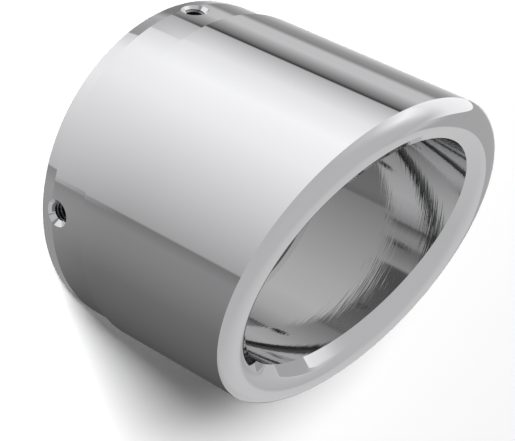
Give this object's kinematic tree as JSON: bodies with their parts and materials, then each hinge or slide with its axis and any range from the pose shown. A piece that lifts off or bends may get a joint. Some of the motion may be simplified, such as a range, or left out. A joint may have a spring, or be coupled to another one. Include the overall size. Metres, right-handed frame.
{
  "type": "exhaust tip",
  "caption": "Slash-cut exhaust tip machined from one billet: polished chrome body, crowned rim, stepped rear spigot with tapped, countersunk screw holes and an open bore with a shallow relief groove.",
  "frame": {"origin": "centre of the flat rear face, on the bore axis", "axes": "+Z along the bore axis, out through the slash-cut front; the long side of the slash is towards -Y and the short side towards +Y"},
  "size_m": [0.1016, 0.1016, 0.0944],
  "materials": {
    "chrome_plate": "mirror-polished chrome plate over machined aluminium; fine turning marks in the bore, and a dull, rough-turned groove"
  },
  "bodies": {
    "root": {"exhaust_tip": "chrome_plate"}
  },
  "joints": []
}
